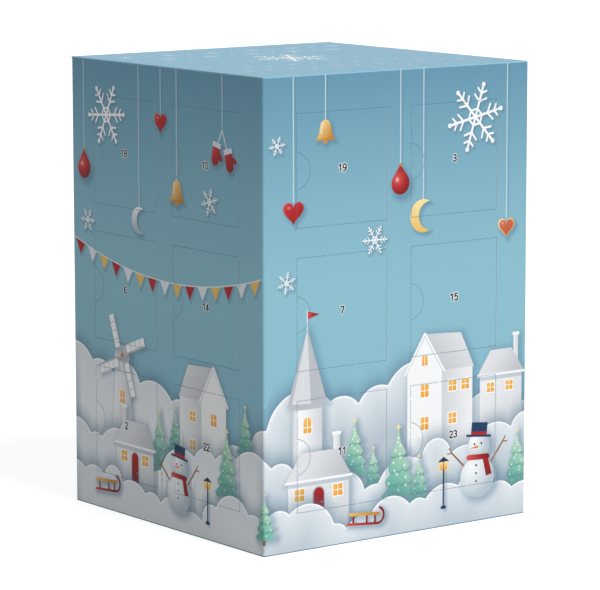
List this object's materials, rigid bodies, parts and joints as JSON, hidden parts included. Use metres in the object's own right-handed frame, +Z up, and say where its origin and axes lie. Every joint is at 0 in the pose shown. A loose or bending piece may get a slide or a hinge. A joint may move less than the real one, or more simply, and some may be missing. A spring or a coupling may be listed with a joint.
{
  "type": "advent calendar",
  "caption": "Square upright chocolate advent calendar of printed card with numbered doors on all four walls, thumb tabs, a tuck lid and formed trays of chocolates inside.",
  "frame": {"origin": "middle of the underside, on the surface the calendar stands on", "axes": "+Z up, -Y out of the front wall, -X out of the left wall"},
  "size_m": [0.12, 0.12, 0.168],
  "materials": {
    "printed_board": "satin varnished print on folding board",
    "plain_board": "unprinted board, matte",
    "filled_tray": "thin formed film holding milk chocolate"
  },
  "bodies": {
    "carton": {"carton_sleeve": "printed_board", "base": "printed_board", "inner_core": "plain_board", "tray_front": "filled_tray", "tray_left": "filled_tray", "tray_back": "filled_tray", "tray_right": "filled_tray"},
    "lid": {"lid": "printed_board"},
    "door_19": {"door_19": "printed_board"},
    "thumb_tab_19": {"thumb_tab_19": "printed_board"},
    "door_03": {"door_03": "printed_board"},
    "thumb_tab_03": {"thumb_tab_03": "printed_board"},
    "door_07": {"door_07": "printed_board"},
    "thumb_tab_07": {"thumb_tab_07": "printed_board"},
    "door_15": {"door_15": "printed_board"},
    "thumb_tab_15": {"thumb_tab_15": "printed_board"},
    "door_11": {"door_11": "printed_board"},
    "thumb_tab_11": {"thumb_tab_11": "printed_board"},
    "door_23": {"door_23": "printed_board"},
    "thumb_tab_23": {"thumb_tab_23": "printed_board"},
    "door_18": {"door_18": "printed_board"},
    "thumb_tab_18": {"thumb_tab_18": "printed_board"},
    "door_10": {"door_10": "printed_board"},
    "thumb_tab_10": {"thumb_tab_10": "printed_board"},
    "door_06": {"door_06": "printed_board"},
    "thumb_tab_06": {"thumb_tab_06": "printed_board"},
    "door_14": {"door_14": "printed_board"},
    "thumb_tab_14": {"thumb_tab_14": "printed_board"},
    "door_02": {"door_02": "printed_board"},
    "thumb_tab_02": {"thumb_tab_02": "printed_board"},
    "door_22": {"door_22": "printed_board"},
    "thumb_tab_22": {"thumb_tab_22": "printed_board"},
    "door_01": {"door_01": "printed_board"},
    "thumb_tab_01": {"thumb_tab_01": "printed_board"},
    "door_12": {"door_12": "printed_board"},
    "thumb_tab_12": {"thumb_tab_12": "printed_board"},
    "door_20": {"door_20": "printed_board"},
    "thumb_tab_20": {"thumb_tab_20": "printed_board"},
    "door_05": {"door_05": "printed_board"},
    "thumb_tab_05": {"thumb_tab_05": "printed_board"},
    "door_16": {"door_16": "printed_board"},
    "thumb_tab_16": {"thumb_tab_16": "printed_board"},
    "door_09": {"door_09": "printed_board"},
    "thumb_tab_09": {"thumb_tab_09": "printed_board"},
    "door_24": {"door_24": "printed_board"},
    "thumb_tab_24": {"thumb_tab_24": "printed_board"},
    "door_08": {"door_08": "printed_board"},
    "thumb_tab_08": {"thumb_tab_08": "printed_board"},
    "door_13": {"door_13": "printed_board"},
    "thumb_tab_13": {"thumb_tab_13": "printed_board"},
    "door_04": {"door_04": "printed_board"},
    "thumb_tab_04": {"thumb_tab_04": "printed_board"},
    "door_17": {"door_17": "printed_board"},
    "thumb_tab_17": {"thumb_tab_17": "printed_board"},
    "door_21": {"door_21": "printed_board"},
    "thumb_tab_21": {"thumb_tab_21": "printed_board"}
  },
  "joints": [
    {"name": "lid_hinge", "type": "hinge", "parent": "carton", "child": "lid", "pos_m": [0, 0.06, 0.16735], "axis": [-1, 0, 0], "range_deg": [0, 150]},
    {"name": "door_19_hinge", "type": "hinge", "parent": "carton", "child": "door_19", "pos_m": [-0.0055, -0.06, 0.1348], "axis": [0, 0, 1], "range_deg": [0, 170]},
    {"name": "door_03_hinge", "type": "hinge", "parent": "carton", "child": "door_03", "pos_m": [0.0455, -0.06, 0.1348], "axis": [0, 0, 1], "range_deg": [0, 170]},
    {"name": "door_07_hinge", "type": "hinge", "parent": "carton", "child": "door_07", "pos_m": [-0.0055, -0.06, 0.0843], "axis": [0, 0, 1], "range_deg": [0, 170]},
    {"name": "door_15_hinge", "type": "hinge", "parent": "carton", "child": "door_15", "pos_m": [0.0455, -0.06, 0.0843], "axis": [0, 0, 1], "range_deg": [0, 170]},
    {"name": "door_11_hinge", "type": "hinge", "parent": "carton", "child": "door_11", "pos_m": [-0.0055, -0.06, 0.0338], "axis": [0, 0, 1], "range_deg": [0, 170]},
    {"name": "door_23_hinge", "type": "hinge", "parent": "carton", "child": "door_23", "pos_m": [0.0455, -0.06, 0.0338], "axis": [0, 0, 1], "range_deg": [0, 170]},
    {"name": "thumb_tab_19_fold", "type": "hinge", "parent": "carton", "child": "thumb_tab_19", "pos_m": [-0.0455, -0.0595, 0.1348], "axis": [0, 0, 1], "range_deg": [0, 80]},
    {"name": "thumb_tab_03_fold", "type": "hinge", "parent": "carton", "child": "thumb_tab_03", "pos_m": [0.0055, -0.0595, 0.1348], "axis": [0, 0, 1], "range_deg": [0, 80]},
    {"name": "thumb_tab_07_fold", "type": "hinge", "parent": "carton", "child": "thumb_tab_07", "pos_m": [-0.0455, -0.0595, 0.0843], "axis": [0, 0, 1], "range_deg": [0, 80]},
    {"name": "thumb_tab_15_fold", "type": "hinge", "parent": "carton", "child": "thumb_tab_15", "pos_m": [0.0055, -0.0595, 0.0843], "axis": [0, 0, 1], "range_deg": [0, 80]},
    {"name": "thumb_tab_11_fold", "type": "hinge", "parent": "carton", "child": "thumb_tab_11", "pos_m": [-0.0455, -0.0595, 0.0338], "axis": [0, 0, 1], "range_deg": [0, 80]},
    {"name": "thumb_tab_23_fold", "type": "hinge", "parent": "carton", "child": "thumb_tab_23", "pos_m": [0.0055, -0.0595, 0.0338], "axis": [0, 0, 1], "range_deg": [0, 80]},
    {"name": "door_18_hinge", "type": "hinge", "parent": "carton", "child": "door_18", "pos_m": [-0.06, 0.0055, 0.1348], "axis": [0, 0, 1], "range_deg": [0, 170]},
    {"name": "door_10_hinge", "type": "hinge", "parent": "carton", "child": "door_10", "pos_m": [-0.06, -0.0455, 0.1348], "axis": [0, 0, 1], "range_deg": [0, 170]},
    {"name": "door_06_hinge", "type": "hinge", "parent": "carton", "child": "door_06", "pos_m": [-0.06, 0.0055, 0.0843], "axis": [0, 0, 1], "range_deg": [0, 170]},
    {"name": "door_14_hinge", "type": "hinge", "parent": "carton", "child": "door_14", "pos_m": [-0.06, -0.0455, 0.0843], "axis": [0, 0, 1], "range_deg": [0, 170]},
    {"name": "door_02_hinge", "type": "hinge", "parent": "carton", "child": "door_02", "pos_m": [-0.06, 0.0055, 0.0338], "axis": [0, 0, 1], "range_deg": [0, 170]},
    {"name": "door_22_hinge", "type": "hinge", "parent": "carton", "child": "door_22", "pos_m": [-0.06, -0.0455, 0.0338], "axis": [0, 0, 1], "range_deg": [0, 170]},
    {"name": "thumb_tab_18_fold", "type": "hinge", "parent": "carton", "child": "thumb_tab_18", "pos_m": [-0.0595, 0.0455, 0.1348], "axis": [0, 0, 1], "range_deg": [0, 80]},
    {"name": "thumb_tab_10_fold", "type": "hinge", "parent": "carton", "child": "thumb_tab_10", "pos_m": [-0.0595, -0.0055, 0.1348], "axis": [0, 0, 1], "range_deg": [0, 80]},
    {"name": "thumb_tab_06_fold", "type": "hinge", "parent": "carton", "child": "thumb_tab_06", "pos_m": [-0.0595, 0.0455, 0.0843], "axis": [0, 0, 1], "range_deg": [0, 80]},
    {"name": "thumb_tab_14_fold", "type": "hinge", "parent": "carton", "child": "thumb_tab_14", "pos_m": [-0.0595, -0.0055, 0.0843], "axis": [0, 0, 1], "range_deg": [0, 80]},
    {"name": "thumb_tab_02_fold", "type": "hinge", "parent": "carton", "child": "thumb_tab_02", "pos_m": [-0.0595, 0.0455, 0.0338], "axis": [0, 0, 1], "range_deg": [0, 80]},
    {"name": "thumb_tab_22_fold", "type": "hinge", "parent": "carton", "child": "thumb_tab_22", "pos_m": [-0.0595, -0.0055, 0.0338], "axis": [0, 0, 1], "range_deg": [0, 80]},
    {"name": "door_01_hinge", "type": "hinge", "parent": "carton", "child": "door_01", "pos_m": [0.0055, 0.06, 0.1348], "axis": [0, 0, 1], "range_deg": [0, 170]},
    {"name": "door_12_hinge", "type": "hinge", "parent": "carton", "child": "door_12", "pos_m": [-0.0455, 0.06, 0.1348], "axis": [0, 0, 1], "range_deg": [0, 170]},
    {"name": "door_20_hinge", "type": "hinge", "parent": "carton", "child": "door_20", "pos_m": [0.0055, 0.06, 0.0843], "axis": [0, 0, 1], "range_deg": [0, 170]},
    {"name": "door_05_hinge", "type": "hinge", "parent": "carton", "child": "door_05", "pos_m": [-0.0455, 0.06, 0.0843], "axis": [0, 0, 1], "range_deg": [0, 170]},
    {"name": "door_16_hinge", "type": "hinge", "parent": "carton", "child": "door_16", "pos_m": [0.0055, 0.06, 0.0338], "axis": [0, 0, 1], "range_deg": [0, 170]},
    {"name": "door_09_hinge", "type": "hinge", "parent": "carton", "child": "door_09", "pos_m": [-0.0455, 0.06, 0.0338], "axis": [0, 0, 1], "range_deg": [0, 170]},
    {"name": "thumb_tab_01_fold", "type": "hinge", "parent": "carton", "child": "thumb_tab_01", "pos_m": [0.0455, 0.0595, 0.1348], "axis": [0, 0, 1], "range_deg": [0, 80]},
    {"name": "thumb_tab_12_fold", "type": "hinge", "parent": "carton", "child": "thumb_tab_12", "pos_m": [-0.0055, 0.0595, 0.1348], "axis": [0, 0, 1], "range_deg": [0, 80]},
    {"name": "thumb_tab_20_fold", "type": "hinge", "parent": "carton", "child": "thumb_tab_20", "pos_m": [0.0455, 0.0595, 0.0843], "axis": [0, 0, 1], "range_deg": [0, 80]},
    {"name": "thumb_tab_05_fold", "type": "hinge", "parent": "carton", "child": "thumb_tab_05", "pos_m": [-0.0055, 0.0595, 0.0843], "axis": [0, 0, 1], "range_deg": [0, 80]},
    {"name": "thumb_tab_16_fold", "type": "hinge", "parent": "carton", "child": "thumb_tab_16", "pos_m": [0.0455, 0.0595, 0.0338], "axis": [0, 0, 1], "range_deg": [0, 80]},
    {"name": "thumb_tab_09_fold", "type": "hinge", "parent": "carton", "child": "thumb_tab_09", "pos_m": [-0.0055, 0.0595, 0.0338], "axis": [0, 0, 1], "range_deg": [0, 80]},
    {"name": "door_24_hinge", "type": "hinge", "parent": "carton", "child": "door_24", "pos_m": [0.06, -0.0055, 0.1348], "axis": [0, 0, 1], "range_deg": [0, 170]},
    {"name": "door_08_hinge", "type": "hinge", "parent": "carton", "child": "door_08", "pos_m": [0.06, 0.0455, 0.1348], "axis": [0, 0, 1], "range_deg": [0, 170]},
    {"name": "door_13_hinge", "type": "hinge", "parent": "carton", "child": "door_13", "pos_m": [0.06, -0.0055, 0.0843], "axis": [0, 0, 1], "range_deg": [0, 170]},
    {"name": "door_04_hinge", "type": "hinge", "parent": "carton", "child": "door_04", "pos_m": [0.06, 0.0455, 0.0843], "axis": [0, 0, 1], "range_deg": [0, 170]},
    {"name": "door_17_hinge", "type": "hinge", "parent": "carton", "child": "door_17", "pos_m": [0.06, -0.0055, 0.0338], "axis": [0, 0, 1], "range_deg": [0, 170]},
    {"name": "door_21_hinge", "type": "hinge", "parent": "carton", "child": "door_21", "pos_m": [0.06, 0.0455, 0.0338], "axis": [0, 0, 1], "range_deg": [0, 170]},
    {"name": "thumb_tab_24_fold", "type": "hinge", "parent": "carton", "child": "thumb_tab_24", "pos_m": [0.0595, -0.0455, 0.1348], "axis": [0, 0, 1], "range_deg": [0, 80]},
    {"name": "thumb_tab_08_fold", "type": "hinge", "parent": "carton", "child": "thumb_tab_08", "pos_m": [0.0595, 0.0055, 0.1348], "axis": [0, 0, 1], "range_deg": [0, 80]},
    {"name": "thumb_tab_13_fold", "type": "hinge", "parent": "carton", "child": "thumb_tab_13", "pos_m": [0.0595, -0.0455, 0.0843], "axis": [0, 0, 1], "range_deg": [0, 80]},
    {"name": "thumb_tab_04_fold", "type": "hinge", "parent": "carton", "child": "thumb_tab_04", "pos_m": [0.0595, 0.0055, 0.0843], "axis": [0, 0, 1], "range_deg": [0, 80]},
    {"name": "thumb_tab_17_fold", "type": "hinge", "parent": "carton", "child": "thumb_tab_17", "pos_m": [0.0595, -0.0455, 0.0338], "axis": [0, 0, 1], "range_deg": [0, 80]},
    {"name": "thumb_tab_21_fold", "type": "hinge", "parent": "carton", "child": "thumb_tab_21", "pos_m": [0.0595, 0.0055, 0.0338], "axis": [0, 0, 1], "range_deg": [0, 80]}
  ]
}
